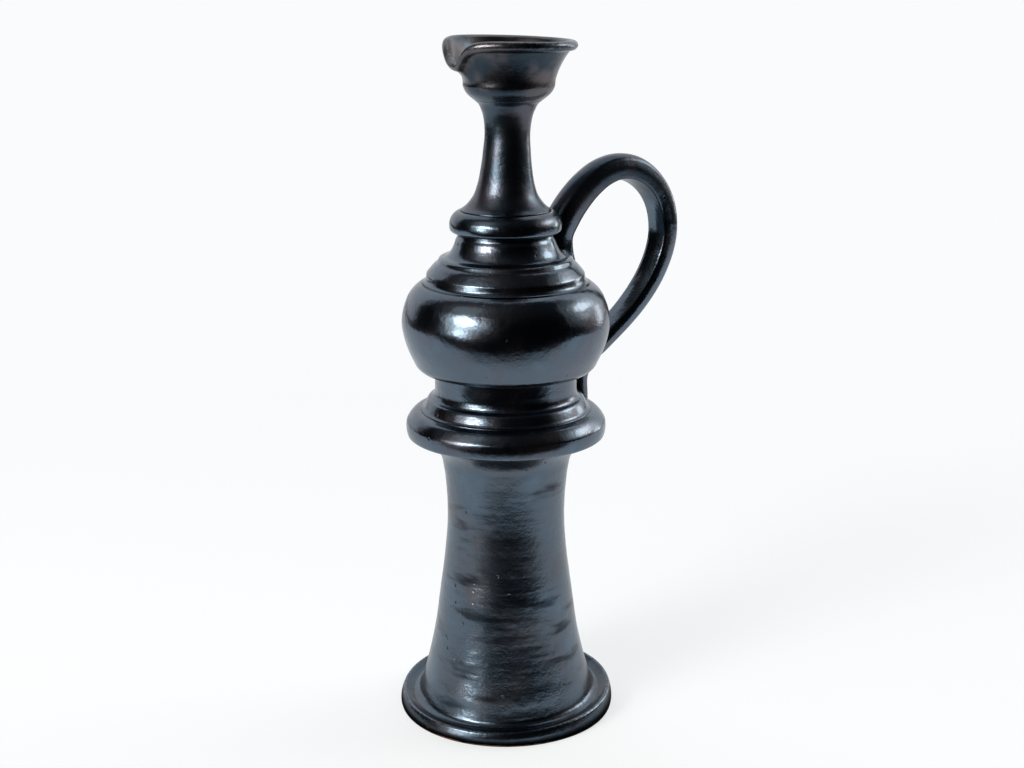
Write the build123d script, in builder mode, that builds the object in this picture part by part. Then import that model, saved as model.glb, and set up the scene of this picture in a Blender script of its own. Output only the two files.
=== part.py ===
from build123d import *
import math
import os

# Tall black-glazed oinochoe: wheel-thrown sections luted one on another, with a pulled strap handle.
# Millimetres. The jug stands on z = 0 with its axis along Z, the handle towards +X, the spout towards -X.

# Foot ring
foot_radius = 64.4
foot_height = 10.9
foot_edge_draw = 1.2
foot_crest_inset = 2.6
foot_seat_height = 8.8
foot_gutter_inset = 7.0
foot_width = 16.4

# Pedestal
pedestal_height = 170.5
pedestal_flare_radius = 46.6
pedestal_flare_height = 31.5
pedestal_middle_radius = 39.3
pedestal_middle_height = 75.0
pedestal_waist_radius = 34.8
pedestal_waist_height = 121.0
pedestal_cove_radius = 37.6
pedestal_cove_depth = 18.0
pedestal_top_radius = 47.0
pedestal_wall = 6.0

# Flange
flange_radius = 58.6
flange_thickness = 16.5

# Waist collar
collar_height = 25.0
collar_slope_height = 13.0
collar_slope_middle = 0.45
collar_waist_radius = 41.4
collar_bore_radius = 34.0

# Belly
belly_height = 54.0
belly_radius = 60.2
belly_bulge_height = 28.0
belly_foot_radius = 49.6
belly_lower_draw = 4.9
belly_lower_height = 6.2
belly_upper_draw = 4.0
belly_upper_drop = 11.0
belly_mouth_radius = 45.8
belly_wall = 5.5
belly_floor = 6.0

# Shoulder
shoulder_height = 26.0
shoulder_step_inset = 0.7
shoulder_step_height = 4.0
shoulder_groove_inset = 2.7
shoulder_groove_height = 7.0
shoulder_ridge_inset = 3.9
shoulder_ridge_height = 9.0
shoulder_cone_height = 21.5
shoulder_throat_radius = 28.4
shoulder_wall = 6.0

# Neck ring
ring_overhang = 3.8
ring_thickness = 11.6

# Neck
neck_height = 62.4
neck_radius = 12.3
neck_waist_height = 44.0
neck_lower_radius = 16.4
neck_lower_height = 13.2
neck_top_radius = 18.0
neck_wall = 4.5

# Mouth cup and its pinched spout
cup_height = 33.4
cup_base_radius = 25.8
cup_base_height = 7.5
cup_wall = 4.3
cup_floor = 3.2
rim_radius = 38.0
lip_overhang = 4.4
lip_depth = 5.9
lip_crown_inset = 2.6
lip_roll_width = 6.5
lip_roll_depth = 3.2
spout_drop = 13.0
spout_draw = 0.8
spout_half_angle = 19.0
spout_spread = 75.0
spout_steps = 9
spout_crowding = 1.3
cup_wall_heading = (0.6, 0.8)
spout_wall_heading = (0.9, 0.5)

# Handle: where the middle of the strap passes the pieces beside it
handle_root_cover = 6.0
handle_root_drop = 16.0
handle_spring_gap = 17.2
handle_spring_rise = 2.4
handle_crest_gap = 47.8
handle_crest_rise = 18.7
handle_haunch_gap = 46.8
handle_haunch_rise = 5.4
handle_reach_gap = 55.8
handle_reach_rise = 14.0
handle_return_gap = 43.8
handle_return_drop = 15.5
handle_lower_gap = 11.8
handle_lower_rise = 8.5
handle_heel_gap = 5.4
handle_heel_drop = 8.5
handle_tail_cover = 1.8
handle_tail_pull = 0.5

# Strap of the handle: its size at both ends, and the edges of its inner and outer faces as shares of that
strap_root_width = 17.5
strap_root_thickness = 18.8
strap_tail_width = 15.0
strap_tail_thickness = 9.2
strap_inner_half_face = 0.40
strap_inner_edge_depth = 0.42
strap_outer_half_face = 0.36
strap_outer_edge_depth = 0.36
strap_sections = 17

# Luted joints: a tongue on the upper piece enters a scored channel over a bed of slip
register_width = 2.0
tongue_height = 0.8
slip_depth = 0.6

# Places of the channels across their seats, from the inner edge as a share
middle_of_seat = 0.5
towards_inner_edge = 0.4
towards_outer_edge = 0.65

# Levels of the joints, from the table up
flange_level = pedestal_height
collar_level = flange_level + flange_thickness
belly_level = collar_level + collar_height
shoulder_level = belly_level + belly_height
ring_level = shoulder_level + shoulder_height
neck_level = ring_level + ring_thickness
cup_level = neck_level + neck_height
rim_level = cup_level + cup_height

# Radii that follow from those sizes, many of them shared by pieces that seat on each other
foot_bore_radius = foot_radius - foot_width
pedestal_foot_radius = foot_radius - foot_gutter_inset
pedestal_foot_bore = pedestal_foot_radius - pedestal_wall
flange_bore_radius = pedestal_top_radius - pedestal_wall
flange_seat_radius = flange_radius - flange_thickness / 2
belly_lower_radius = belly_radius - belly_lower_draw
belly_upper_radius = belly_radius - belly_upper_draw
belly_mouth_bore = belly_mouth_radius - belly_wall
shoulder_step_radius = belly_mouth_radius - shoulder_step_inset
shoulder_groove_radius = shoulder_step_radius - shoulder_groove_inset
shoulder_ridge_radius = shoulder_step_radius - shoulder_ridge_inset
throat_bore = shoulder_throat_radius - shoulder_wall
ring_radius = shoulder_throat_radius + ring_overhang
ring_seat_radius = ring_radius - ring_thickness / 2
neck_bore_top = neck_top_radius - neck_wall


def scored_radius(inner, outer, place):
    """Radius of a scored channel across a seat, on the side that keeps more clay below it."""
    return inner + (outer - inner) * place


joints = {
    "foot": (foot_seat_height, scored_radius(pedestal_foot_bore, pedestal_foot_radius, towards_inner_edge)),
    "flange": (flange_level, scored_radius(flange_bore_radius, pedestal_top_radius, towards_inner_edge)),
    "collar": (collar_level, scored_radius(flange_bore_radius, flange_seat_radius, middle_of_seat)),
    "belly": (belly_level, scored_radius(collar_bore_radius, collar_waist_radius, middle_of_seat)),
    "shoulder": (shoulder_level, scored_radius(belly_mouth_bore, shoulder_step_radius, towards_outer_edge)),
    "neck_ring": (ring_level, scored_radius(throat_bore, ring_seat_radius, middle_of_seat)),
    "neck": (neck_level, scored_radius(throat_bore, ring_seat_radius, middle_of_seat)),
    "cup": (cup_level, scored_radius(neck_bore_top, neck_top_radius, towards_inner_edge)),
}


def turned_ring(radius, bottom, height, mode):
    """A square-edged ring about the jug's axis."""
    with BuildSketch(Plane.XZ) as section:
        with Locations((radius, bottom + height / 2)):
            Rectangle(register_width, height)
    revolve(section.sketch, axis=Axis.Z, mode=mode)


def score_channel(joint):
    """Score the channel for the slip and the tongue into the top of a piece."""
    level, radius = joints[joint]
    depth = tongue_height + slip_depth
    turned_ring(radius, level - depth, depth, Mode.SUBTRACT)


def raise_tongue(joint):
    """Leave the tongue that enters the channel on the underside of a piece."""
    level, radius = joints[joint]
    turned_ring(radius, level - tongue_height, tongue_height, Mode.ADD)


def bullnose(seat_radius, outer_radius, bottom, top):
    """Full round edge of a coil, from its lower face to its upper one."""
    ThreePointArc((seat_radius, bottom), (outer_radius, (bottom + top) / 2), (seat_radius, top))


def pedestal_line(inset):
    """Waisted wall of the pedestal, moved in by the inset."""
    Spline(
        (pedestal_foot_radius - inset, foot_seat_height),
        (pedestal_flare_radius - inset, pedestal_flare_height),
        (pedestal_middle_radius - inset, pedestal_middle_height),
        (pedestal_waist_radius - inset, pedestal_waist_height),
        (pedestal_cove_radius - inset, pedestal_height - pedestal_cove_depth),
        (pedestal_top_radius - inset, pedestal_height),
        tangents=((-0.85, 0.5), (0.8, 0.6)),
    )


def collar_line():
    """Sloping foot of the collar and the straight waist above it."""
    slope_top = collar_level + collar_slope_height
    slope_middle = collar_level + collar_slope_height * collar_slope_middle
    Spline(
        (flange_seat_radius, collar_level),
        ((flange_seat_radius + collar_waist_radius) / 2, slope_middle),
        (collar_waist_radius, slope_top),
        tangents=((-0.2, 1), (-0.1, 1)),
    )
    Line((collar_waist_radius, slope_top), (collar_waist_radius, belly_level))


def belly_line():
    """Globe of the belly, from the edge of its turned underside to its mouth."""
    Spline(
        (belly_foot_radius, belly_level),
        (belly_lower_radius, belly_level + belly_lower_height),
        (belly_radius, belly_level + belly_bulge_height),
        (belly_upper_radius, shoulder_level - belly_upper_drop),
        (belly_mouth_radius, shoulder_level),
        tangents=((1, 0.2), (-0.78, 0.62)),
    )


def shoulder_line():
    """Stepped edge of the shoulder, its ridge, and the hollow cone up to the throat."""
    step_top = (shoulder_step_radius, shoulder_level + shoulder_step_height)
    groove = (shoulder_groove_radius, shoulder_level + shoulder_groove_height)
    ridge = (shoulder_ridge_radius, shoulder_level + shoulder_ridge_height)
    throat = (shoulder_throat_radius, shoulder_level + shoulder_cone_height)
    Line((shoulder_step_radius, shoulder_level), step_top)
    Spline(step_top, groove, tangents=((0, 1), (-1, 0.3)))
    Spline(groove, ridge, tangents=((0.3, 1), (-1, 0.4)))
    Spline(ridge, throat, tangents=((-1, 0.4), (0, 1)))
    Line(throat, (shoulder_throat_radius, ring_level))


def neck_line(inset):
    """Drawn-in wall of the neck, moved in by the inset."""
    Spline(
        (ring_seat_radius - inset, neck_level),
        (neck_lower_radius - inset, neck_level + neck_lower_height),
        (neck_radius - inset, neck_level + neck_waist_height),
        (neck_top_radius - inset, cup_level),
        tangents=((-0.85, 0.5), (0.7, 0.7)),
    )


def cup_line(share):
    """Half-section of the mouth: plain wall at share 0, middle of the spout at share 1."""
    move_in = spout_draw * share
    move_down = spout_drop * share
    wall_top = (rim_radius - lip_overhang - move_in, rim_level - lip_depth - move_down)
    lip_edge = (rim_radius - move_in, rim_level - lip_depth / 2 - move_down)
    lip_top = (rim_radius - lip_crown_inset - move_in, rim_level - move_down)
    throat = (rim_radius - lip_roll_width - move_in, rim_level - lip_roll_depth - move_down)
    base_edge = (cup_base_radius, cup_level + cup_base_height)
    floor_edge = (cup_base_radius - cup_wall, cup_level + cup_base_height + cup_floor / 2)
    bore_edge = (neck_bore_top, cup_level + cup_floor)
    Line((neck_bore_top, cup_level), (neck_top_radius, cup_level))
    Spline((neck_top_radius, cup_level), base_edge, tangents=((1, 0.35), (0.35, 1)))
    wall_heading = [
        plain + (pinched - plain) * share for plain, pinched in zip(cup_wall_heading, spout_wall_heading)
    ]
    Spline(base_edge, wall_top, tangents=((0.12, 1), wall_heading))
    ThreePointArc(wall_top, lip_edge, lip_top)
    Spline(lip_top, throat, floor_edge, tangents=((-1, 0.1), (-0.15, -1)))
    Spline(floor_edge, bore_edge, tangents=((-0.35, -1), (-1, -0.3)))
    Line(bore_edge, (neck_bore_top, cup_level))


def spout_share(angle):
    """How much of the spout's dip the rim has at an angle from the middle of the spout."""
    fade = math.cos(math.radians(90 * angle / spout_spread)) ** 2
    return fade / (1 + (angle / spout_half_angle) ** 4)


def spout_angle(step):
    """Angle of a section of the spout, counted from its middle, where the sections crowd together."""
    return math.copysign(spout_spread * abs(step / spout_steps) ** spout_crowding, step)


def radial_plane(angle):
    """Upright half-plane through the axis, with its first direction outwards."""
    turn = math.radians(angle)
    outward = (math.cos(turn), math.sin(turn), 0)
    return Plane((0, 0, 0), x_dir=outward, z_dir=(math.sin(turn), -math.cos(turn), 0))


def strap_line(width, thickness):
    """Section of the strap: flat towards the jug, crowned outside, with rounded sides."""
    inner_edge = (strap_inner_half_face * width, -strap_inner_edge_depth * thickness)
    outer_edge = (strap_outer_half_face * width, strap_outer_edge_depth * thickness)
    far_inner_edge = (-inner_edge[0], inner_edge[1])
    far_outer_edge = (-outer_edge[0], outer_edge[1])
    ThreePointArc(far_inner_edge, (0, -thickness / 2), inner_edge)
    ThreePointArc(inner_edge, (width / 2, 0), outer_edge)
    ThreePointArc(outer_edge, (0, thickness / 2), far_outer_edge)
    ThreePointArc(far_outer_edge, (-width / 2, 0), far_inner_edge)


# Foot ring: a rolled coil with a gutter inside its rim that carries the pedestal
with BuildPart() as foot_ring:
    with BuildSketch(Plane.XZ):
        with BuildLine():
            base_edge = (foot_radius - foot_edge_draw, 0)
            gutter = (pedestal_foot_radius, foot_seat_height)
            Line((foot_bore_radius, 0), base_edge)
            Spline(
                base_edge,
                (foot_radius, foot_height / 2),
                (foot_radius - foot_crest_inset, foot_height),
                gutter,
                tangents=((0.3, 1), (-1, -0.2)),
            )
            Line(gutter, (foot_bore_radius, foot_seat_height))
            Line((foot_bore_radius, foot_seat_height), (foot_bore_radius, 0))
        make_face()
    revolve(axis=Axis.Z)
    score_channel("foot")

# Pedestal: a hollow waisted stem, open below
with BuildPart() as pedestal:
    with BuildSketch(Plane.XZ):
        with BuildLine():
            pedestal_line(0)
            pedestal_line(pedestal_wall)
            Line((pedestal_foot_bore, foot_seat_height), (pedestal_foot_radius, foot_seat_height))
            Line((flange_bore_radius, pedestal_height), (pedestal_top_radius, pedestal_height))
        make_face()
    revolve(axis=Axis.Z)
    score_channel("flange")
    raise_tongue("foot")

# Flange: a heavy ring with a full round edge
with BuildPart() as flange:
    with BuildSketch(Plane.XZ):
        with BuildLine():
            Line((flange_bore_radius, flange_level), (flange_seat_radius, flange_level))
            bullnose(flange_seat_radius, flange_radius, flange_level, collar_level)
            Line((flange_seat_radius, collar_level), (flange_bore_radius, collar_level))
            Line((flange_bore_radius, collar_level), (flange_bore_radius, flange_level))
        make_face()
    revolve(axis=Axis.Z)
    score_channel("collar")
    raise_tongue("flange")

# Waist collar: sloping foot and narrow waist under the belly
with BuildPart() as waist_collar:
    with BuildSketch(Plane.XZ):
        with BuildLine():
            collar_line()
            Line((collar_waist_radius, belly_level), (collar_bore_radius, belly_level))
            Line((collar_bore_radius, belly_level), (collar_bore_radius, collar_level))
            Line((collar_bore_radius, collar_level), (flange_seat_radius, collar_level))
        make_face()
    revolve(axis=Axis.Z)
    score_channel("belly")
    raise_tongue("collar")

# Belly: a squat globe with the floor that closes the vessel
with BuildPart() as belly:
    with BuildSketch(Plane.XZ):
        with BuildLine():
            floor_level = belly_level + belly_floor
            Line((0, belly_level), (belly_foot_radius, belly_level))
            belly_line()
            Line((belly_mouth_radius, shoulder_level), (belly_mouth_bore, shoulder_level))
            Spline(
                (belly_mouth_bore, shoulder_level),
                (belly_upper_radius - belly_wall, shoulder_level - belly_upper_drop),
                (belly_radius - belly_wall, belly_level + belly_bulge_height),
                (belly_foot_radius - belly_wall, floor_level),
                tangents=((0.78, -0.62), (-1, -0.4)),
            )
            Line((belly_foot_radius - belly_wall, floor_level), (0, floor_level))
            Line((0, floor_level), (0, belly_level))
        make_face()
    revolve(axis=Axis.Z)
    score_channel("shoulder")
    raise_tongue("belly")

# Shoulder: stepped cone that closes the belly in to the throat
with BuildPart() as shoulder:
    with BuildSketch(Plane.XZ):
        with BuildLine():
            shoulder_line()
            bore_top = (throat_bore, shoulder_level + shoulder_cone_height)
            Line((shoulder_throat_radius, ring_level), (throat_bore, ring_level))
            Line((throat_bore, ring_level), bore_top)
            Spline(bore_top, (belly_mouth_bore, shoulder_level), tangents=((0, -1), (1, -0.4)))
            Line((belly_mouth_bore, shoulder_level), (shoulder_step_radius, shoulder_level))
        make_face()
    revolve(axis=Axis.Z)
    score_channel("neck_ring")
    raise_tongue("shoulder")

# Neck ring: a round bead over the joint of neck and shoulder
with BuildPart() as neck_ring:
    with BuildSketch(Plane.XZ):
        with BuildLine():
            Line((throat_bore, ring_level), (ring_seat_radius, ring_level))
            bullnose(ring_seat_radius, ring_radius, ring_level, neck_level)
            Line((ring_seat_radius, neck_level), (throat_bore, neck_level))
            Line((throat_bore, neck_level), (throat_bore, ring_level))
        make_face()
    revolve(axis=Axis.Z)
    score_channel("neck")
    raise_tongue("neck_ring")

# Neck: a slender drawn-in tube
with BuildPart() as neck:
    with BuildSketch(Plane.XZ):
        with BuildLine():
            neck_line(0)
            neck_line(neck_wall)
            Line((ring_seat_radius - neck_wall, neck_level), (ring_seat_radius, neck_level))
            Line((neck_bore_top, cup_level), (neck_top_radius, cup_level))
        make_face()
    revolve(axis=Axis.Z)
    score_channel("cup")
    raise_tongue("neck")

# Mouth cup: flared wall with a rolled lip, pinched down into a spout opposite the handle
with BuildPart() as mouth_cup:
    for step in range(-spout_steps, spout_steps + 1):
        angle = spout_angle(step)
        with BuildSketch(radial_plane(180 + angle)):
            with BuildLine():
                cup_line(spout_share(angle))
            make_face()
    loft()
    with BuildSketch(radial_plane(180 + spout_spread)):
        with BuildLine():
            cup_line(0)
        make_face()
    revolve(axis=Axis.Z, revolution_arc=360 - 2 * spout_spread)
    raise_tongue("cup")

# Outer form of the turned pieces that the handle is pressed against
with BuildPart() as clay_body:
    with BuildSketch(Plane.XZ):
        with BuildLine():
            Line((0, flange_level), (flange_seat_radius, flange_level))
            bullnose(flange_seat_radius, flange_radius, flange_level, collar_level)
            collar_line()
            Line((collar_waist_radius, belly_level), (belly_foot_radius, belly_level))
            belly_line()
            Line((belly_mouth_radius, shoulder_level), (shoulder_step_radius, shoulder_level))
            shoulder_line()
            Line((shoulder_throat_radius, ring_level), (ring_seat_radius, ring_level))
            bullnose(ring_seat_radius, ring_radius, ring_level, neck_level)
            Line((ring_seat_radius, neck_level), (0, neck_level))
            Line((0, neck_level), (0, flange_level))
        make_face()
    revolve(axis=Axis.Z)

# Handle: a pulled strap from the shoulder and neck ring down to the collar and flange
with BuildLine(Plane.XZ) as handle_route:
    centre_line = Spline(
        (shoulder_throat_radius + handle_root_cover, ring_level - handle_root_drop),
        (ring_radius + handle_spring_gap, neck_level + handle_spring_rise),
        (ring_radius + handle_crest_gap, neck_level + handle_crest_rise),
        (belly_radius + handle_haunch_gap, neck_level + handle_haunch_rise),
        (belly_radius + handle_reach_gap, shoulder_level + handle_reach_rise),
        (belly_radius + handle_return_gap, shoulder_level - handle_return_drop),
        (belly_radius + handle_lower_gap, belly_level + handle_lower_rise),
        (flange_seat_radius + handle_heel_gap, belly_level - handle_heel_drop),
        (flange_seat_radius + handle_tail_cover, collar_level - flange_thickness / 2),
        tangents=((0.3, 0.95), (0, -1)),
        tangent_scalars=(1, handle_tail_pull),
    )
with BuildPart() as handle:
    for step in range(strap_sections):
        share = step / (strap_sections - 1)
        width = strap_root_width + (strap_tail_width - strap_root_width) * share
        thickness = strap_root_thickness + (strap_tail_thickness - strap_root_thickness) * share
        with BuildSketch(Plane(centre_line @ share, x_dir=(0, 1, 0), z_dir=centre_line % share)):
            with BuildLine():
                strap_line(width, thickness)
            make_face()
    loft()
    add(clay_body.part, mode=Mode.SUBTRACT)

pieces = {
    "foot_ring": foot_ring,
    "pedestal": pedestal,
    "flange": flange,
    "waist_collar": waist_collar,
    "belly": belly,
    "shoulder": shoulder,
    "neck_ring": neck_ring,
    "neck": neck,
    "mouth_cup": mouth_cup,
    "handle": handle,
}

os.makedirs("parts", exist_ok=True)
for name, piece in pieces.items():
    piece.part.label = name
    export_step(piece.part, f"parts/{name}.step")

# Beds of slip in the scored channels, one to a joint
for joint, (level, radius) in joints.items():
    with BuildPart() as slip_bed:
        turned_ring(radius, level - tongue_height - slip_depth, slip_depth, Mode.ADD)
    slip_bed.part.label = f"slip_{joint}"
    export_step(slip_bed.part, f"parts/slip_{joint}.step")
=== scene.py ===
import math

import bmesh
import bpy
import numpy as np
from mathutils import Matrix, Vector


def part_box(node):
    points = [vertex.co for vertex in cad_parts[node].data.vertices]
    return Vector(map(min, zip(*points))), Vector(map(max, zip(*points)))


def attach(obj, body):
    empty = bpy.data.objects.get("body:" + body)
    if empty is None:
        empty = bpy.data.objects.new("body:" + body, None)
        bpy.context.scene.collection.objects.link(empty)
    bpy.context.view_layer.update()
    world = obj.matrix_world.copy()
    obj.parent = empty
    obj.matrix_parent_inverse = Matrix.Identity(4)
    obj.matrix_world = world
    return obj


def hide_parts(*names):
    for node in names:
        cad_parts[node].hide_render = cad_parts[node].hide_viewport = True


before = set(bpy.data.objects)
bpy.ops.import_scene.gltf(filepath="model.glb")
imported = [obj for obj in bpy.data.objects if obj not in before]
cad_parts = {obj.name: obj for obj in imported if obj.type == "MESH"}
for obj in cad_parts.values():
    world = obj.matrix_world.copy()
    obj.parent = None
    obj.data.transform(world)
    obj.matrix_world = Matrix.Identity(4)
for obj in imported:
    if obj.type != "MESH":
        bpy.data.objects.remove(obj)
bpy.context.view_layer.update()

# Sizes are in millimetres until a mesh is made from them
mm = 0.001


def top_of(node):
    """Height of a piece's top over the table."""
    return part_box(node)[1].z / mm


def reach_of(node):
    """Widest radius of a turned piece."""
    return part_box(node)[1].y / mm


# Levels of the joints and the widest radii, from the frame
foot_crest = top_of("foot_ring")
flange_level = top_of("pedestal")
collar_level = top_of("flange")
belly_level = top_of("waist_collar")
shoulder_level = top_of("belly")
ring_level = top_of("shoulder")
neck_level = top_of("neck_ring")
cup_level = top_of("neck")
rim_level = top_of("mouth_cup")
foot_reach = reach_of("foot_ring")
flange_reach = reach_of("flange")
belly_reach = reach_of("belly")
ring_reach = reach_of("neck_ring")
rim_reach = reach_of("mouth_cup")

# How finely the clay is modelled: steps along an outline where it shows, on the cup and in the bores
fine_step = 0.8
cup_step = 0.6
bore_step = 4.0
around = 192
outline_spacing = 0.1
edge_softness = 0.45
softness_reach = 4
merge_distance = 0.001

# How the clay was worked: throwing rings, which fade out near the axis, and a slow wobble
ring_span = 60.0
ring_fade = (0.004, 0.012)
wobble_depth = 0.3
wobble_span = 70.0

# Lean of the neck and cup, in directions of the picture, and tilt of the rim, full from a little below it
picture_right = Vector((0.829, -0.559, 0.0))
picture_away = Vector((0.559, 0.829, 0.0))
lean_reach = 2.3
rim_tilt = 0.03
tilt_margin = 10.0

# Tilt of the foot's crest and the way it rises, fading out at so many times the crest's height
foot_tilt = 0.044
foot_rise = picture_right * 0.45 + picture_away * 0.89
foot_fade = 4

# Pinched spout: how far the lip goes down and in, and the angles over which it does
spout_drop = 12.4
spout_draw = 1.6
spout_near_angle = 11.0
spout_far_angle = 31.0
spout_spread = 85.0


class Value:
    """A node's output that takes part in Python expressions, each of which adds its Math node."""

    def __init__(self, tree, socket):
        self.tree = tree
        self.socket = socket

    def out(self, name):
        """Another output of the same node."""
        return Value(self.tree, self.socket.node.outputs[name])

    def __add__(self, other):
        return self.tree.maths("ADD", self, other)

    def __sub__(self, other):
        return self.tree.maths("SUBTRACT", self, other)

    def __rsub__(self, other):
        return self.tree.maths("SUBTRACT", other, self)

    def __mul__(self, other):
        return self.tree.maths("MULTIPLY", self, other)

    def __truediv__(self, other):
        return self.tree.maths("DIVIDE", self, other)

    __radd__ = __add__
    __rmul__ = __mul__

    def larger(self, other):
        return self.tree.maths("MAXIMUM", self, other)

    def smaller(self, other):
        return self.tree.maths("MINIMUM", self, other)

    def clamped(self):
        return self.larger(0.0).smaller(1.0)

    def rise(self, low, high):
        """Smooth step from 0 at low to 1 at high."""
        sockets = {"Value": self, "From Min": low, "From Max": high}
        return self.tree.node("ShaderNodeMapRange", {"interpolation_type": "SMOOTHSTEP"}, sockets)


class Tree:
    """A node tree, with one method that adds any node."""

    def __init__(self, tree):
        self.tree = tree
        self.tree.nodes.clear()

    def node(self, kind, settings=None, sockets=None, output=0):
        made = self.tree.nodes.new(kind)
        for name, value in (settings or {}).items():
            setattr(made, name, value)
        for name, value in (sockets or {}).items():
            if isinstance(value, Value):
                self.tree.links.new(value.socket, made.inputs[name])
            else:
                made.inputs[name].default_value = value
        return Value(self, made.outputs[output]) if made.outputs else made

    def maths(self, operation, *values):
        return self.node("ShaderNodeMath", {"operation": operation}, dict(enumerate(values)))

    def vector(self, x, y, z):
        return self.node("ShaderNodeCombineXYZ", None, {"X": x, "Y": y, "Z": z})

    def parts(self, vector):
        """The X, Y and Z of a vector."""
        split = self.node("ShaderNodeSeparateXYZ", None, {"Vector": vector})
        return split, split.out("Y"), split.out("Z")

    def stretched(self, vector, scales):
        return self.node("ShaderNodeVectorMath", {"operation": "MULTIPLY"}, {0: vector, 1: scales})

    def noise(self, vector, scale, detail=2.0, roughness=0.5):
        sockets = {"Vector": vector, "Scale": scale, "Detail": detail, "Roughness": roughness}
        return self.node("ShaderNodeTexNoise", None, sockets)

    def mixed(self, share, first, second):
        """Colour between two others, by the Mix node's sockets for colours."""
        return self.node("ShaderNodeMix", {"data_type": "RGBA"}, {0: share, 6: first, 7: second}, 2)


def placed(name, data):
    """A new object in the scene."""
    made = bpy.data.objects.new(name, data)
    bpy.context.scene.collection.objects.link(made)
    return made


def geometry_tree(name, inputs):
    """A Geometry Nodes tree with named inputs, and the Value of each."""
    group = bpy.data.node_groups.new(name, "GeometryNodeTree")
    group.interface.new_socket("Geometry", in_out="OUTPUT", socket_type="NodeSocketGeometry")
    for title, kind in {"Geometry": "Geometry", **inputs, "Finish": "Material"}.items():
        group.interface.new_socket(title, in_out="INPUT", socket_type="NodeSocket" + kind)
    tree = Tree(group)
    entry = tree.node("NodeGroupInput")
    return tree, {title: entry.out(title) for title in ("Geometry", *inputs, "Finish")}


def moved_to(tree, geometry, x, y, z):
    """Geometry with its points in new places."""
    sockets = {"Geometry": geometry, "Position": tree.vector(x, y, z)}
    return tree.node("GeometryNodeSetPosition", None, sockets)


def close_tree(tree, geometry, finish):
    """Every tree ends as one real mesh with its finish on it."""
    smooth = tree.node("GeometryNodeSetShadeSmooth", None, {"Geometry": geometry})
    real = tree.node("GeometryNodeRealizeInstances", None, {"Geometry": smooth})
    done = tree.node("GeometryNodeSetMaterial", None, {"Geometry": real, "Material": finish})
    tree.node("NodeGroupOutput", None, {"Geometry": done})
    return tree.tree


def stored(tree, geometry, name, kind, value):
    """Geometry with a value kept on its points."""
    settings = {"data_type": kind, "domain": "POINT"}
    sockets = {"Geometry": geometry, "Name": name, "Value": value}
    return tree.node("GeometryNodeStoreNamedAttribute", settings, sockets)


def read(tree, name, kind):
    """A value kept on the points."""
    return tree.node("GeometryNodeInputNamedAttribute", {"data_type": kind}, {"Name": name})


def thrown_wall_tree():
    """Turns an outline about the jug's axis and leaves the potter's fingers on it as rings."""
    inputs = {"Around": "Int", "Ring depth": "Float", "Ring pitch": "Float"}
    tree, given = geometry_tree("thrown_wall", inputs)
    position = tree.node("GeometryNodeInputPosition")
    index = tree.node("GeometryNodeInputIndex")
    section = tree.node("GeometryNodeMeshToCurve", None, {"Mesh": given["Geometry"]})
    section = stored(tree, section, "section", "FLOAT_VECTOR", position)
    circle = tree.node("GeometryNodeCurvePrimitiveCircle", None, {"Resolution": given["Around"]})
    turned = stored(tree, circle, "turn", "FLOAT", index * (2 * math.pi) / given["Around"])
    wall = tree.node("GeometryNodeCurveToMesh", None, {"Curve": turned, "Profile Curve": section})
    radius, _, height = tree.parts(read(tree, "section", "FLOAT_VECTOR"))
    turn = read(tree, "turn", "FLOAT")
    cosine = tree.maths("COSINE", turn)
    sine = tree.maths("SINE", turn)
    span = ring_span * mm
    place = tree.vector(cosine * radius / span, sine * radius / span, height / given["Ring pitch"])
    rings = tree.noise(place, 1.0, roughness=0.55) - 0.5
    out = radius + rings * 2 * given["Ring depth"] * radius.rise(*ring_fade)
    wall = moved_to(tree, wall, cosine * out, sine * out, height)
    sockets = {"Geometry": wall, "Distance": merge_distance * mm}
    wall = tree.node("GeometryNodeMergeByDistance", None, sockets)
    return close_tree(tree, wall, given["Finish"])


def pinched_spout_tree():
    """Draws the cup's rim down into a spout opposite the handle, wider on the far side than on the near."""
    inputs = {"Drop": "Float", "Draw": "Float", "Near angle": "Float", "Far angle": "Float",
              "Spread": "Float", "Base": "Float", "Lip": "Float"}
    tree, given = geometry_tree("pinched_spout", inputs)
    x, y, z = tree.parts(tree.node("GeometryNodeInputPosition"))
    angle = tree.maths("ARCTAN2", y, 0 - x)
    fade = (tree.maths("ABSOLUTE", angle) / given["Spread"]).smaller(1.0) * (math.pi / 2)
    fade = tree.maths("COSINE", fade)
    near = (0 - angle / given["Near angle"]).larger(0.0)
    far = (angle / given["Far angle"]).larger(0.0)
    share = fade * fade / (1 + near * near + far * far * far * far)
    share = share * ((z - given["Base"]) / (given["Lip"] - given["Base"])).clamped()
    radius = tree.maths("SQRT", x * x + y * y)
    inward = 1 - share * given["Draw"] / radius
    shaped = moved_to(tree, given["Geometry"], x * inward, y * inward, z - share * given["Drop"])
    return close_tree(tree, shaped, given["Finish"])


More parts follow.
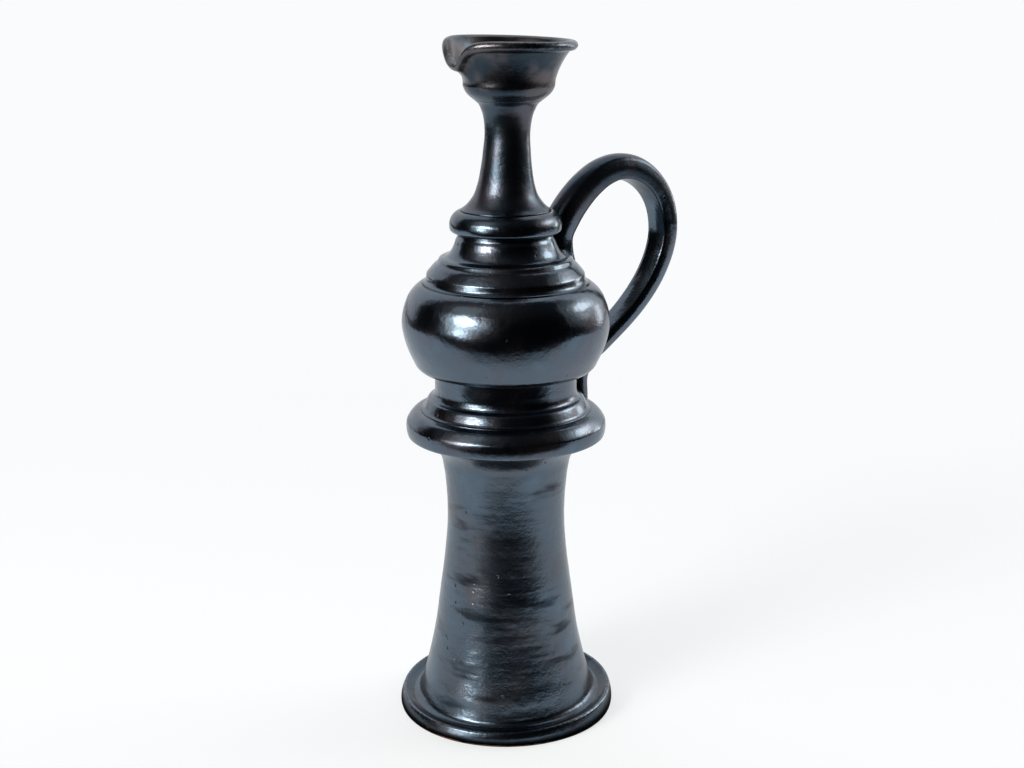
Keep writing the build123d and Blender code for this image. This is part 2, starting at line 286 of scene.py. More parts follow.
def hand_made_tree():
    """Puts a piece slightly out of true: a slow wobble, a lean and tilt towards the top, an uneven foot."""
    inputs = {"Wobble": "Float", "Wobble span": "Float", "Lean": "Float", "Lean from": "Float",
              "Lean to": "Float", "Tilt": "Float", "Tilt from": "Float", "Tilt to": "Float",
              "Foot tilt": "Float", "Foot from": "Float", "Foot to": "Float"}
    tree, given = geometry_tree("hand_made", inputs)
    x, y, z = tree.parts(tree.node("GeometryNodeInputPosition"))
    span = given["Wobble span"]
    place = tree.vector(x / span, y / span, z / span)
    off_x, off_y, _ = tree.parts(tree.noise(place, 1.0, detail=0.0).out("Color"))
    wobble = given["Wobble"] * 2
    lean = given["Lean"] * z.rise(given["Lean from"], given["Lean to"])
    across = x * picture_right.x + y * picture_right.y
    tilt = across * given["Tilt"] * z.rise(given["Tilt from"], given["Tilt to"])
    behind = x * foot_rise.x + y * foot_rise.y
    low = (z / given["Foot from"]).clamped() * (1 - z.rise(given["Foot from"], given["Foot to"]))
    shaped = moved_to(
        tree, given["Geometry"],
        x + (off_x - 0.5) * wobble + lean * picture_right.x,
        y + (off_y - 0.5) * wobble + lean * picture_right.y,
        z - (tilt - behind * given["Foot tilt"] * low),
    )
    return close_tree(tree, shaped, given["Finish"])


def pulled_strap_tree():
    """Carries the strap's section along its route."""
    tree, given = geometry_tree("pulled_strap", {"Section": "Object"})
    position = tree.node("GeometryNodeInputPosition")
    route = tree.node("GeometryNodeMeshToCurve", None, {"Mesh": given["Geometry"]})
    route = stored(tree, route, "route", "FLOAT_VECTOR", position)
    loop = tree.node("GeometryNodeObjectInfo", None, {"Object": given["Section"]}).out("Geometry")
    loop = tree.node("GeometryNodeMeshToCurve", None, {"Mesh": loop})
    loop = stored(tree, loop, "section", "FLOAT_VECTOR", position)
    sockets = {"Curve": route, "Profile Curve": loop, "Fill Caps": True}
    strap = tree.node("GeometryNodeCurveToMesh", None, sockets)
    route_x, _, route_z = tree.parts(read(tree, "route", "FLOAT_VECTOR"))
    out_x, _, out_z = tree.parts(read(tree, "outward", "FLOAT_VECTOR"))
    across, _, depth = tree.parts(read(tree, "section", "FLOAT_VECTOR"))
    depth = depth * read(tree, "thickness", "FLOAT")
    across = across * read(tree, "width", "FLOAT")
    twist = read(tree, "twist", "FLOAT")
    cosine = tree.maths("COSINE", twist)
    sine = tree.maths("SINE", twist)
    lift = depth * cosine - across * sine
    aside = across * cosine + depth * sine
    shaped = moved_to(tree, strap, route_x + out_x * lift, aside, route_z + out_z * lift)
    return close_tree(tree, shaped, given["Finish"])


def spline(points, spacing):
    """Smooth curve through points, sampled evenly."""
    points = np.array(points, float)
    along = np.concatenate([[0], np.cumsum(np.linalg.norm(np.diff(points, axis=0), axis=1))])
    slope = np.gradient(points, along, axis=0)
    places = np.linspace(0, along[-1], max(2, int(along[-1] / spacing) + 1))
    part = np.clip(np.searchsorted(along, places, "right") - 1, 0, len(along) - 2)
    length = (along[part + 1] - along[part])[:, None]
    share = (places - along[part])[:, None] / length
    left = 1 - share
    start = points[part] * (1 + 2 * share) * left ** 2 + slope[part] * length * share * left ** 2
    rest = points[part + 1] * share ** 2 * (3 - 2 * share) - slope[part + 1] * length * share ** 2 * left
    return start + rest


def softened(runs, closed=True, softness=edge_softness):
    """Outline of joined runs with corners rounded as in wet clay, fine only where it shows, and its bend."""
    curves = [spline(points, outline_spacing) for points, _ in runs]
    dense = np.concatenate([curve[:-1] for curve in curves] + ([] if closed else [curves[-1][-1:]]))
    steps = np.concatenate([np.full(len(curve) - 1, step) for curve, (_, step) in zip(curves, runs)])
    reach = int(softness_reach * softness / outline_spacing)
    kernel = np.exp(-0.5 * (np.arange(-reach, reach + 1) * outline_spacing / softness) ** 2)
    kernel = kernel / kernel.sum()
    padded = np.pad(dense, ((reach, reach), (0, 0)), mode="wrap" if closed else "edge")
    soft = np.stack([np.convolve(column, kernel, "valid") for column in padded.T], axis=1)
    if not closed:
        soft[[0, -1]] = dense[[0, -1]]
    ends = np.roll(soft, -1, axis=0) if closed else soft[1:]
    lengths = np.linalg.norm(ends - soft[:len(ends)], axis=1)
    budget = np.cumsum(lengths / steps[:len(lengths)])
    keep = np.unique(np.searchsorted(budget, np.arange(int(budget[-1]))))
    if not closed:
        keep = np.append(keep, len(soft) - 1)
    heading = np.unwrap(np.arctan2(*np.gradient(soft, axis=0).T[::-1]))
    bend = np.gradient(heading) / np.gradient(np.cumsum(np.append(lengths, lengths[-1])[:len(soft)]))
    return soft[keep], np.clip(bend[keep], -1, 1)


def joined(start, *runs):
    """Runs of an outline: each is a step and the points that follow the end of the run before."""
    whole = []
    for step, *points in runs:
        whole.append(([start, *points], step))
        start = points[-1]
    return whole


def bored(radius, top, base, start):
    """The last runs of a ring: in over its top, down its bore and back to its start."""
    return (bore_step, (radius, top)), (bore_step, (radius, base)), (bore_step, start)


def tube(line, wall):
    """Runs of a thrown tube: up its outside and down a bore that keeps the wall's thickness."""
    start, *outside = line
    top, *inside = [(r - wall, z) for r, z in line[::-1]]
    return joined(start, (fine_step, *outside), (bore_step, top), (bore_step, *inside), (bore_step, start))


def path_object(name, points, closed, values):
    """A line of points in the XZ plane as an object, with values kept on the points."""
    mesh = bpy.data.meshes.new(name)
    count = len(points)
    links = [(i, (i + 1) % count) for i in range(count if closed else count - 1)]
    mesh.from_pydata([(x * mm, 0, z * mm) for x, z in points], links, [])
    for title, numbers in values.items():
        numbers = np.array(numbers, np.float32)
        kind, field = ("FLOAT", "value") if numbers.ndim == 1 else ("FLOAT_VECTOR", "vector")
        mesh.attributes.new(title, kind, "POINT").data.foreach_set(field, numbers.ravel())
    return placed(name, mesh)


def shape_with(piece, group, inputs):
    """Gives a piece one of the trees, with its inputs set by the sockets' identifiers."""
    sockets = {s.name: s.identifier for s in group.interface.items_tree if s.in_out == "INPUT"}
    modifier = piece.modifiers.new(group.name, "NODES")
    modifier.node_group = group
    for title, value in inputs.items():
        modifier[sockets[title]] = value


def made_plain(piece):
    """Turns what the trees make into the piece's own mesh, with its faces pointing outwards."""
    bpy.context.view_layer.update()
    graph = bpy.context.evaluated_depsgraph_get()
    evaluated = piece.evaluated_get(graph)
    mesh = bpy.data.meshes.new_from_object(evaluated, preserve_all_data_layers=True, depsgraph=graph)
    piece.modifiers.clear()
    piece.data = mesh
    mesh.name = piece.name
    work = bmesh.new()
    work.from_mesh(mesh)
    bmesh.ops.recalc_face_normals(work, faces=work.faces)
    work.to_mesh(mesh)
    work.free()


def worked_by_hand(piece, finish):
    """Adds the wobble, lean and tilt that all pieces share."""
    shape_with(piece, trees["hand_made"], {
        "Wobble": wobble_depth * mm, "Wobble span": wobble_span * mm,
        "Lean": lean_reach * mm, "Lean from": neck_level * mm, "Lean to": rim_level * mm,
        "Tilt": rim_tilt, "Tilt from": cup_level * mm, "Tilt to": (rim_level - tilt_margin) * mm,
        "Foot tilt": foot_tilt, "Foot from": foot_crest * mm, "Foot to": foot_fade * foot_crest * mm,
        "Finish": finish,
    })


def stands_for(piece, node):
    """Puts a finished piece on the body in place of its solid."""
    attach(piece, "root")
    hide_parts(node)


def thrown(name, node, runs, slot, ring_depth=0.06, ring_pitch=4.0, closed=True, spout=None):
    """A wheel-thrown section: its outline turned about the axis, then marked and leaned by hand."""
    finish = finishes[slot]
    points, bend = softened(runs, closed)
    piece = path_object(name, points, closed, {"bend": bend})
    shape_with(piece, trees["thrown_wall"], {
        "Around": around, "Ring depth": ring_depth * mm, "Ring pitch": ring_pitch * mm, "Finish": finish,
    })
    if spout:
        shape_with(piece, trees["pinched_spout"], {**spout, "Finish": finish})
    worked_by_hand(piece, finish)
    made_plain(piece)
    stands_for(piece, node)
    return points


# Marks of the glaze: their scale to the metre and the band of the noise in which each one rises
cloud_scale, cloud_band, dry_cloud_band = 34.0, (0.42, 0.62), (0.4, 0.6)
lump_scale = 110.0
grain_scale, grain_band = 720.0, (0.38, 0.6)
patch_scale, patch_band = 48.0, (0.45, 0.65)
wheel_stretch = (14, 14, 160)
smear_stretch, smear_band = (20, 20, 85), (0.53, 0.68)
pit_scale, pit_band, pit_choice = 210.0, (0.08, 0.26), 0.02
cluster_scale, cluster_band = 22.0, (0.45, 0.62)
chip_scale, chip_band = 70.0, (0.66, 0.7)
ragged_scale, ragged_reach = 160.0, 0.002
ridge_band = (0.15, 0.6)

# Relief of the glaze, and how far the grain grows from its smooth patches to its rough ones
lump_depth = 0.28
pit_depth = 0.2
bare_depth = 0.3
least_grain, added_grain = 0.3, 1.4

# Heights in metres between which the glaze changes: dry on the cup, duller above the ring, bare at the foot
dry_levels = (0.366, 0.376)
upper_levels = (0.294, 0.31)
chip_levels = (0.002, 0.005)
bare_levels = (0.0009, 0.0015)

# How much of the glassy layer the marks add or take
cloud_gloss = 1.3
ridge_gloss = 0.25
dry_loss = 0.5
smear_loss = 0.8
upper_loss = 0.5
least_gloss = 0.02

# Roughness of the lustre, and what the marks add to it and to the glassy layer's own
lustre_haze = 0.3
lustre_clouds, lustre_wheel, lustre_bare = 0.16, 0.2, 0.6
glass_clouds, glass_upper, glass_bare = 0.12, 0.12, 0.5

# Colours of the glaze and the clay
blue_black = (0.007, 0.014, 0.022, 1)
plum_black = (0.080, 0.067, 0.080, 1)
umber_black = (0.026, 0.023, 0.026, 1)
blue_grey = (0.018, 0.028, 0.040, 1)
warm_grey = (0.078, 0.071, 0.076, 1)
smear_black = (0.004, 0.005, 0.008, 1)
thin_glaze = (0.20, 0.22, 0.25, 1)
thin_share = 0.8
dry_glaze = (0.115, 0.095, 0.09, 1)
glass_black = (0.0006, 0.0007, 0.001, 1)
glass_tint = (0.56, 0.77, 1.0, 1)
glass_ior = 2.6
terracotta = (0.22, 0.115, 0.085, 1)
slip_orange = (0.42, 0.24, 0.16, 1)
slip_brown = (0.30, 0.13, 0.07, 1)
slip_scale = 90.0
slip_roughness = 0.85


def new_material(name):
    """A material and its empty tree."""
    material = bpy.data.materials.new(name)
    material.use_nodes = True
    return material, Tree(material.node_tree)


def glaze(name, cool, warm, gloss, haze, streak, peel, pit_share, smear=0.0, worn=0.0):
    """Black glaze on thrown clay: a glassy layer and a dark lustre, clouded, streaked, grained and pitted."""
    material, tree = new_material(name)
    place = tree.node("ShaderNodeTexCoord").out("Object")
    level = tree.parts(place)[2]
    clouds = tree.noise(place, cloud_scale, detail=3.0)
    lumps = tree.noise(place, lump_scale, detail=3.0, roughness=0.6)
    grain = tree.noise(place, grain_scale, roughness=0.6)
    wheel = tree.noise(tree.stretched(place, wheel_stretch), 1.0, detail=3.0, roughness=0.55)
    smears = tree.noise(tree.stretched(place, smear_stretch), 1.0, detail=3.0, roughness=0.55)
    smears = smears.rise(*smear_band) * smear
    bend = tree.node("ShaderNodeAttribute", {"attribute_name": "bend"}).out("Fac")
    ridge = bend.rise(*ridge_band) * grain.rise(*grain_band)
    dry = level.rise(*dry_levels)
    upper = level.rise(*upper_levels)

    # Pits lie in clusters, each in the middle of a chosen cell
    cells = tree.node("ShaderNodeTexVoronoi", None, {"Vector": place, "Scale": pit_scale})
    chosen = tree.node("ShaderNodeSeparateColor", None, {"Color": cells.out("Color")})
    chosen = chosen.rise(1 - pit_share, 1 - pit_share + pit_choice)
    clusters = tree.noise(place, cluster_scale, detail=1.0).rise(*cluster_band)
    pits = chosen * (1 - cells.rise(*pit_band)) * clusters

    # Bare clay along the standing edge and in chips above it
    ragged = tree.noise(place, ragged_scale, detail=3.0) - 0.5
    chips = tree.noise(place, chip_scale).rise(*chip_band) * (1 - level.rise(*chip_levels))
    bare = (1 - (level + ragged * ragged_reach).rise(*bare_levels)).larger(chips) * worn

    patches = least_grain + tree.noise(place, patch_scale).rise(*patch_band) * added_grain
    height = grain * patches * (peel * mm) + lumps * (lump_depth * mm) + wheel * (streak * mm)
    height = height - pits * (pit_depth * mm) - bare * (bare_depth * mm)
    bump = tree.node("ShaderNodeBump", None, {"Strength": 1.0, "Distance": 1.0, "Height": height})

    tint = tree.mixed(clouds.rise(*cloud_band), cool, warm)
    tint = tree.mixed(smears, tint, smear_black)
    tint = tree.mixed(dry * clouds.rise(*dry_cloud_band), tint, dry_glaze)
    tint = tree.mixed(ridge * thin_share, tint, thin_glaze)
    dull = lustre_haze + (clouds - 0.5) * lustre_clouds + (wheel - 0.5) * lustre_wheel + bare * lustre_bare
    lustre = tree.node("ShaderNodeBsdfPrincipled", None, {
        "Base Color": tree.mixed(bare, tint, terracotta),
        "Metallic": 1 - bare,
        "Roughness": dull.smaller(1.0),
        "Normal": bump,
    })
    glass = tree.node("ShaderNodeBsdfPrincipled", None, {
        "Base Color": tree.mixed(bare, glass_black, terracotta),
        "Roughness": haze + (clouds - 0.5) * glass_clouds + upper * glass_upper + bare * glass_bare,
        "IOR": glass_ior,
        "Specular Tint": glass_tint,
        "Normal": bump,
    })
    share = gloss + (0.5 - clouds) * cloud_gloss + ridge * ridge_gloss
    share = share * (1 - pits) * (1 - dry * dry_loss) * (1 - bare)
    share = share * (1 - smears * smear_loss) * (1 - upper * upper_loss)
    share = share.larger(least_gloss).smaller(1.0)
    surface = tree.node("ShaderNodeMixShader", None, {0: share, 1: lustre, 2: glass})
    tree.node("ShaderNodeOutputMaterial", None, {"Surface": surface})
    return material


def fired_slip(name):
    """Matt fired slip."""
    material, tree = new_material(name)
    place = tree.node("ShaderNodeTexCoord").out("Object")
    tint = tree.mixed(tree.noise(place, slip_scale, detail=3.0), slip_orange, slip_brown)
    shader = tree.node("ShaderNodeBsdfPrincipled", None, {"Base Color": tint, "Roughness": slip_roughness})
    tree.node("ShaderNodeOutputMaterial", None, {"Surface": shader})
    return material


trees = {
    "thrown_wall": thrown_wall_tree(),
    "pinched_spout": pinched_spout_tree(),
    "hand_made": hand_made_tree(),
    "pulled_strap": pulled_strap_tree(),
}
satin = "satin_black_glaze"
graphite = "graphite_black_glaze"
worn = "worn_black_glaze"
slip = "clay_slip"
finishes = {
    satin: glaze("satin_black", blue_black, plum_black,
                 gloss=0.7, haze=0.17, streak=0.02, peel=0.06, pit_share=0.08),
    graphite: glaze("graphite_black", blue_grey, warm_grey,
                    gloss=0.66, haze=0.23, streak=0.12, peel=0.07, pit_share=0.3, smear=0.9),
    worn: glaze("worn_black", blue_black, umber_black,
                gloss=0.42, haze=0.22, streak=0.03, peel=0.08, pit_share=0.2, worn=1.0),
    slip: fired_slip("fired_slip"),
}

# Foot ring: a rolled coil with a gutter inside its rim
gutter_depth = 2.1
foot_width = 16.4
gutter_inset = 7
foot_seat = foot_crest - gutter_depth
foot_bore = foot_reach - foot_width
gutter = (foot_reach - gutter_inset, foot_seat)
foot_edge = (foot_reach - 0.4, 0)
foot_rim = (foot_reach - 1, foot_crest - 0.8)
foot_runs = joined(
    foot_edge,
    (fine_step, (foot_reach + 0.3, 2.6), (foot_reach + 0.2, 5.5), foot_rim),
    (fine_step, (foot_reach - 1.9, foot_crest + 0.3), (foot_reach - 3, foot_crest)),
    (fine_step, (foot_reach - 4.6, foot_seat + 0.9), gutter),
    *bored(foot_bore, foot_seat, 0, foot_edge),
)
thrown("thrown_foot_ring", "foot_ring", foot_runs, worn)

# Pedestal: a tall waisted stem, hollow and open below
pedestal_wall = 6.0
pedestal_line = [
    gutter, (54.6, 9.2), (52.7, 10.6), (51.6, 13.6), (49.8, 20.8), (46.9, 31.5), (43.3, 48), (39.5, 75),
    (36.2, 101), (34.8, 121), (35.6, 141), (36.9, 152), (38.4, 158.8), (40.6, 162.6), (43.6, 166),
    (48, flange_level),
]
pedestal_runs = tube(pedestal_line, pedestal_wall)
thrown("thrown_pedestal", "pedestal", pedestal_runs, graphite, ring_depth=0.16, ring_pitch=7.0)

# Flange: a heavy ring with a round edge
flange_seat = flange_reach - (collar_level - flange_level) / 2
flange_bore = pedestal_line[-1][0] - pedestal_wall
flange_base = (flange_seat, flange_level)
flange_top = (flange_seat, collar_level)
flange_low = (flange_reach - 0.7, flange_level + 1.4)
flange_high = (flange_reach - 0.2, flange_level + 9.7)
flange_runs = joined(
    flange_base,
    (fine_step, (flange_reach - 3.6, flange_level + 0.2), flange_low),
    (fine_step, (flange_reach, flange_level + 5.5), flange_high),
    (fine_step, (56.2, 183.6), (53.7, 186), flange_top),
    *bored(flange_bore, collar_level, flange_level, flange_base),
)
flange_points = thrown("thrown_flange", "flange", flange_runs, satin)

# Waist collar: a small step, a hollow slope with a ledge and a straight waist
waist = 41.4
collar_bore = 34.0
collar_step = (flange_seat - 0.5, collar_level + 0.3)
collar_foot = (48.2, collar_level + 0.9)
collar_edge = (45.9, 192.9)
collar_ledge = (43.9, 194.4)
collar_runs = joined(
    flange_top,
    (fine_step, collar_step),
    (fine_step, collar_foot),
    (fine_step, (47.1, 190.4), collar_edge),
    (fine_step, (45.2, 194), collar_ledge),
    (fine_step, (42.5, 195.4), (41.6, 197.8), (waist, 203), (waist, belly_level)),
    *bored(collar_bore, belly_level, collar_level, flange_top),
)
collar_points = thrown("thrown_waist_collar", "waist_collar", collar_runs, satin)

# Belly: a squat globe, closed below
belly_wall = 5.5
belly_floor = 6.0
belly_foot = (49.8, belly_level - 0.5)
belly_mouth = (40.3, shoulder_level)
belly_runs = joined(
    (0, belly_level),
    (bore_step, belly_foot),
    (fine_step, (52.2, 213.8), (54.2, 217.6), (56.7, 223), (58.7, 229), (belly_reach, 240), (58.2, 250),
     (56, 255), (52.3, 259.4), (49, 261.7), (46.6, 262.6)),
    (bore_step, belly_mouth),
    (bore_step, (50.7, 255), (belly_reach - belly_wall, 240), (53, 229), (44.1, belly_level + belly_floor)),
    (bore_step, (0, belly_level + belly_floor)),
)
belly_points = thrown("thrown_belly", "belly", belly_runs, satin, closed=False)

# Shoulder: a stepped edge, a small ridge and a hollow cone up to the throat
shoulder_lap = (49, 261.8)
shoulder_step = (45.8, 265)
step_top = (45.5, 267.6)
ridge_foot = (39, 274.2)
ridge = (38.5, 276.1)
ridge_top = (36.6, 276.9)
cone_edge = (28.5, 287.3)
throat = (27.4, ring_level)
throat_bore = 22.4
shoulder_runs = joined(
    shoulder_lap,
    (fine_step, (47.3, 262.6), (46.2, 263.7), shoulder_step),
    (fine_step, step_top),
    (fine_step, (42.9, 270.7), (40.6, 273.1), ridge_foot),
    (fine_step, ridge),
    (fine_step, ridge_top),
    (fine_step, (34.3, 277.5), (32.5, 278.9), (31, 280.9), (29.9, 283.2), (29.1, 285.3), cone_edge),
    (fine_step, (27.7, 288.6), throat),
    (bore_step, (throat_bore, ring_level)),
    (bore_step, (throat_bore, 287), (28, 276), belly_mouth),
    (bore_step, shoulder_lap),
)
shoulder_points = thrown("thrown_shoulder", "shoulder", shoulder_runs, satin)

# Neck ring: a round bead over the joint of shoulder and neck
ring_seat = ring_reach - (neck_level - ring_level) / 2
ring_base = (ring_seat, ring_level)
ring_top = (ring_seat, neck_level)
ring_runs = joined(
    ring_base,
    (fine_step, (30.2, ring_level - 0.7), (31.8, ring_level + 0.4), (ring_reach, ring_level + 2.9),
     (31.9, ring_level + 5.8), (30.7, ring_level + 8.4), (28.8, ring_level + 10.4), ring_top),
    *bored(throat_bore, neck_level, ring_level, ring_base),
)
ring_points = thrown("thrown_neck_ring", "neck_ring", ring_runs, satin)

# Neck: a slender drawn-in tube
neck_wall = 4.5
neck_line = [
    ring_top, (23, 306), (20.4, 309), (18.4, 312), (16.3, 318), (14.6, 327), (13.5, 337), (12.9, 348),
    (15.1, 360), (17, 363.6), (20, cup_level),
]
neck_points = thrown("thrown_neck", "neck", tube(neck_line, neck_wall), satin)

# Mouth cup: round base, sharp edge, flared wall and rolled lip, pinched into a spout
cup_foot = (neck_line[-1][0] - 0.7, cup_level - 0.5)
cup_edge = (25.8, 373.2)
lip_under = (rim_reach - 4.4, rim_level - 6)
lip_crown = (rim_reach - 2.6, rim_level - 0.1)
cup_floor = (21.5, 375.1)
bore_base = (neck_line[-1][0] - neck_wall, cup_level)
bore_top = (bore_base[0], cup_level + 3.2)
cup_runs = joined(
    cup_foot,
    (cup_step, (21.9, 367.6), (23.6, 369.2), (24.8, 371), cup_edge),
    (cup_step, (26, 376.5), (26.9, 380.5), (28.7, 385.2), (31.2, 390), lip_under),
    (cup_step, (rim_reach - 1.2, rim_level - 5), (rim_reach, rim_level - 3),
     (rim_reach - 0.8, rim_level - 0.9), lip_crown),
    (cup_step, (rim_reach - 4.9, rim_level - 1.1), (rim_reach - 6.5, rim_level - 3.2), (28, 389), (24, 380),
     cup_floor),
    (cup_step, (18.5, 371.6), bore_top),
    (bore_step, bore_base),
    (bore_step, cup_foot),
)
thrown("thrown_mouth_cup", "mouth_cup", cup_runs, satin, spout={
    "Drop": spout_drop * mm, "Draw": spout_draw * mm, "Near angle": math.radians(spout_near_angle),
    "Far angle": math.radians(spout_far_angle), "Spread": math.radians(spout_spread),
    "Base": cup_edge[1] * mm, "Lip": lip_under[1] * mm,
})

# Handle: a pulled strap from the shoulder and neck ring down to the collar and flange
strap_route = [
    (35.6, 265), (34, 276), (34.6, 286.7), (40.2, 296.7), (47.7, 305.9), (56.4, 313.7), (65.8, 319.4),
    (76.6, 322.3), (87.5, 321.4), (97.6, 317.1), (106, 310.1), (112.1, 301), (115.4, 290.5), (116, 279.6),
    (113.7, 268.8), (109.9, 260), (106, 253.3), (99.5, 244.8), (92.1, 237), (84.1, 229.9), (75.7, 223.3),
    (67.2, 216.9), (57.4, 209.4), (51.6, 199.9), (51.4, 189.4), (51.6, 180),
]
route_step = 1.2
root_width, tail_width = 17.5, 15.0
root_thickness, tail_thickness = 18.8, 9.2
root_flare, root_flare_run = 0.35, 0.08
tail_flare, tail_flare_run = 0.12, 0.1
strap_twist = 10.0

# The strap's section, in shares of its width and thickness: flat inside, crowned outside
section_step = 0.04
section_softness = 0.03
strap_section = joined(
    (-0.42, -0.45),
    (section_step, (0, -0.5), (0.42, -0.45)),
    (section_step, (0.5, -0.06), (0.45, 0.31)),
    (section_step, (0.24, 0.46), (0, 0.5), (-0.24, 0.46), (-0.45, 0.31)),
    (section_step, (-0.5, -0.06), (-0.42, -0.45)),
)

# How deep the strap's ends lie in the clay, and how finely the body's outline is read there
bedding = 2.0
level_step = 0.5
level_band = 1.2
least_radius = 1e-6


def press_onto_body(piece):
    """Keeps the ends of the strap in the clay that they are pressed on, and out of the bores behind it."""
    below = [flange_points, collar_points, belly_points]
    above = [shoulder_points, ring_points, neck_points]
    body = np.concatenate(below + above)
    levels = np.arange(flange_level, cup_level, level_step)
    reach = np.array([body[np.abs(body[:, 1] - level) < level_band, 0].max() for level in levels])
    spots = np.zeros(len(piece.data.vertices) * 3, np.float32)
    piece.data.vertices.foreach_get("co", spots)
    spots = spots.reshape(-1, 3)
    radius = np.maximum(np.hypot(spots[:, 0], spots[:, 1]), least_radius)
    wall = (np.interp(spots[:, 2] / mm, levels, reach) - bedding) * mm
    spots[:, :2] *= np.maximum(1, wall / radius)[:, None]
    piece.data.vertices.foreach_set("co", spots.ravel())
    piece.data.update()


def pulled_handle():
    """The strap, wide at both ends, thinner towards its tail and slightly twisted in between."""
    section, _ = softened(strap_section, softness=section_softness)
    loop = path_object("strap_section", section / mm, True, {})
    route = spline(strap_route, route_step)
    heading = np.gradient(route, axis=0)
    heading /= np.linalg.norm(heading, axis=1)[:, None]
    outward = np.stack([-heading[:, 1], np.zeros(len(route)), heading[:, 0]], axis=1)
    share = np.linspace(0, 1, len(route))
    at_root = np.clip(1 - share / root_flare_run, 0, 1) ** 2
    at_tail = np.clip(1 - (1 - share) / tail_flare_run, 0, 1) ** 2
    flare = 1 + root_flare * at_root + tail_flare * at_tail
    width = (root_width + (tail_width - root_width) * share) * flare
    thickness = root_thickness + (tail_thickness - root_thickness) * share
    twist = math.radians(strap_twist) * np.sin(math.pi * share) ** 2
    piece = path_object("pulled_handle", route, False, {
        "outward": outward, "width": width * mm, "thickness": thickness * mm, "twist": twist,
    })
    shape_with(piece, trees["pulled_strap"], {"Section": loop, "Finish": finishes[satin]})
    worked_by_hand(piece, finishes[satin])
    made_plain(piece)
    bpy.data.objects.remove(loop)
    press_onto_body(piece)
    stands_for(piece, "handle")


pulled_handle()

# The beds of slip keep their solids' shape and lean with the pieces round them
for name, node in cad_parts.items():
    if name.startswith("slip_"):
        bed = placed("bed_of_" + name, node.data.copy())
        bed.data.transform(node.matrix_world)
        worked_by_hand(bed, finishes[slip])
        made_plain(bed)
        stands_for(bed, name)

# Tones of the studio
backdrop_white = (0.955, 0.965, 0.985, 1)
room_black = (0.002, 0.002, 0.0025, 1)
ceiling_grey = (0.03, 0.032, 0.034, 1)
table_glow = (0.66, 0.668, 0.663, 1)
table_white = (0.35, 0.375, 0.405, 1)
no_light = (0, 0, 0, 1)
lamp_colour = (1.0, 0.93, 0.86)

# Table in metres: its half side, and where reflections see its front, its sides and the shade under the foot
table_reach = 6.0
front_edge = (-0.40, -0.18)
side_edge = (1.3, 1.7)
foot_shade = (0.0042, 0.0105)
far_table = (0.1, 1.0)

# Edges of the backdrop and the ceiling, as parts of a direction's length
backdrop_edge = (0.46, 0.58)
ceiling_edge = (0.3, 1.0)
least_square = 0.0001

# Soft lights in metres and watts, placed as seen from the camera, each of three ovals inside each other
lamp_distance = 3.0
lamp_aim = Vector((0, 0, 0.25))
lamp_ovals = ((1.0, 0.45), (1.8, 0.3), (3.0, 0.25))
oval_gap = 0.01
softboxes = {
    "key": {"right": -0.685, "away": -0.639, "up": 0.39, "width": 1.05, "height": 0.42, "power": 62},
    "fill": {"right": 0.857, "away": 0.292, "up": 0.424, "width": 1.25, "height": 1.0, "power": 37},
    "edge": {"right": 0.80, "away": 0.59, "up": 0.02, "width": 0.6, "height": 1.0, "power": 10},
    "low": {"right": -0.775, "away": -0.626, "up": 0.09, "width": 0.9, "height": 0.7, "power": 28},
    "upper": {"right": -0.55, "away": -0.35, "up": 0.76, "width": 1.6, "height": 1.6, "power": 10},
}

# Camera, in metres and degrees, and its lens
camera_distance, camera_height, camera_aside = 0.911, 0.445, 0.0036
camera_pitch = 15
focal_pixels, image_width, sensor_width = 1610, 1024, 36.0


def studio_floor():
    """White table, white to the horizon for the camera; reflections see its edges and the foot's shade."""
    corners = [(x * table_reach, y * table_reach, 0) for x, y in ((-1, -1), (1, -1), (1, 1), (-1, 1))]
    mesh = bpy.data.meshes.new("table")
    mesh.from_pydata(corners, [], [(0, 1, 2, 3)])
    table = placed("table", mesh)
    material, tree = new_material("white_table")
    x, y, _ = tree.parts(tree.node("ShaderNodeTexCoord").out("Object"))
    away = x * picture_away.x + y * picture_away.y
    across = x * picture_right.x + y * picture_right.y
    spread = x * x + y * y
    on_table = away.rise(*front_edge) * (1 - tree.maths("ABSOLUTE", across).rise(*side_edge))
    # painted shade: round the foot the table turns black for reflections, while the camera still sees it
    # white
    on_table = on_table * spread.rise(*foot_shade)
    seen = tree.node("ShaderNodeLightPath").out("Is Camera Ray").larger(on_table)
    far = spread.rise(*far_table)
    glow = tree.mixed(far, table_glow, backdrop_white)
    white = tree.mixed(far, table_white, no_light)
    shader = tree.node("ShaderNodeBsdfPrincipled", None, {
        "Base Color": tree.mixed(seen, room_black, white), "Roughness": 1.0, "Specular IOR Level": 0.0,
        "Emission Color": tree.mixed(seen, room_black, glow), "Emission Strength": 1.0,
    })
    tree.node("ShaderNodeOutputMaterial", None, {"Surface": shader})
    mesh.materials.append(material)


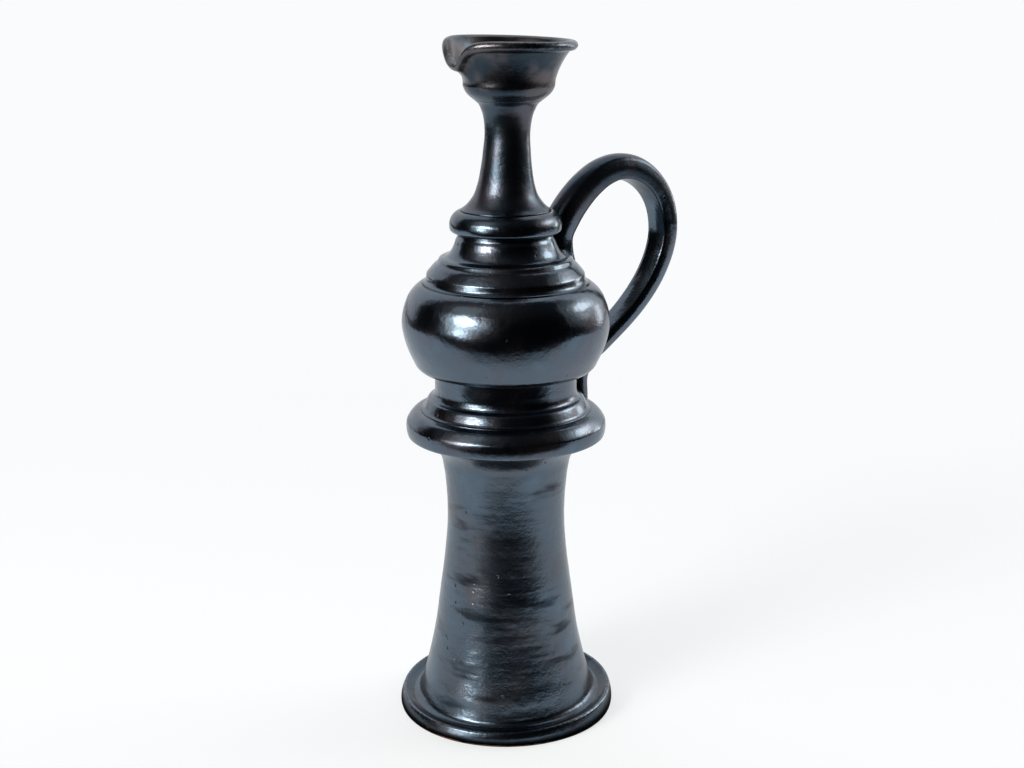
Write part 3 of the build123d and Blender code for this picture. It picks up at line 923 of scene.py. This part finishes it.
def studio_world():
    """White backdrop behind the jug, a grey ceiling and a dark room in front; the camera sees white."""
    world = bpy.data.worlds.new("studio")
    bpy.context.scene.world = world
    world.use_nodes = True
    tree = Tree(world.node_tree)
    x, y, z = tree.parts(tree.node("ShaderNodeTexCoord").out("Generated"))
    level = tree.maths("SQRT", x * x + y * y + least_square)
    away = (x * picture_away.x + y * picture_away.y) / level
    room = tree.mixed(z.rise(*ceiling_edge), room_black, ceiling_grey)
    studio = tree.mixed(away.rise(*backdrop_edge), room, backdrop_white)
    seen = tree.node("ShaderNodeLightPath").out("Is Camera Ray")
    colour = tree.mixed(seen, studio, backdrop_white)
    shader = tree.node("ShaderNodeBackground", None, {"Color": colour, "Strength": 1.0})
    tree.node("ShaderNodeOutputWorld", None, {"Surface": shader})


def softbox(name, right, away, up, width, height, power):
    """Oval soft light that faces the belly."""
    direction = picture_right * right + picture_away * away + Vector((0, 0, up))
    for oval, (spread, share) in enumerate(lamp_ovals):
        light = bpy.data.lights.new(f"{name}_{oval}", "AREA")
        light.shape = "ELLIPSE"
        light.size = width * spread
        light.size_y = height * spread
        light.energy = power * share
        light.color = lamp_colour
        lamp = placed(light.name, light)
        lamp.location = lamp_aim + direction.normalized() * (lamp_distance + oval_gap * oval)
        lamp.rotation_euler = direction.to_track_quat("Z", "Y").to_euler()
        lamp.visible_camera = False


def photo_camera():
    """Camera at the photograph's place, looking slightly down."""
    camera = bpy.data.cameras.new("camera")
    camera.sensor_width = sensor_width
    camera.lens = focal_pixels * sensor_width / image_width
    view = placed("camera", camera)
    view.location = picture_right * camera_aside - picture_away * camera_distance
    view.location.z = camera_height
    pitch = math.radians(camera_pitch)
    gaze = picture_away * math.cos(pitch) - Vector((0, 0, math.sin(pitch)))
    view.rotation_euler = gaze.to_track_quat("-Z", "Y").to_euler()
    bpy.context.scene.camera = view


studio_floor()
studio_world()
for name, setting in softboxes.items():
    softbox(name, **setting)
photo_camera()
bpy.context.scene.view_settings.view_transform = "Standard"
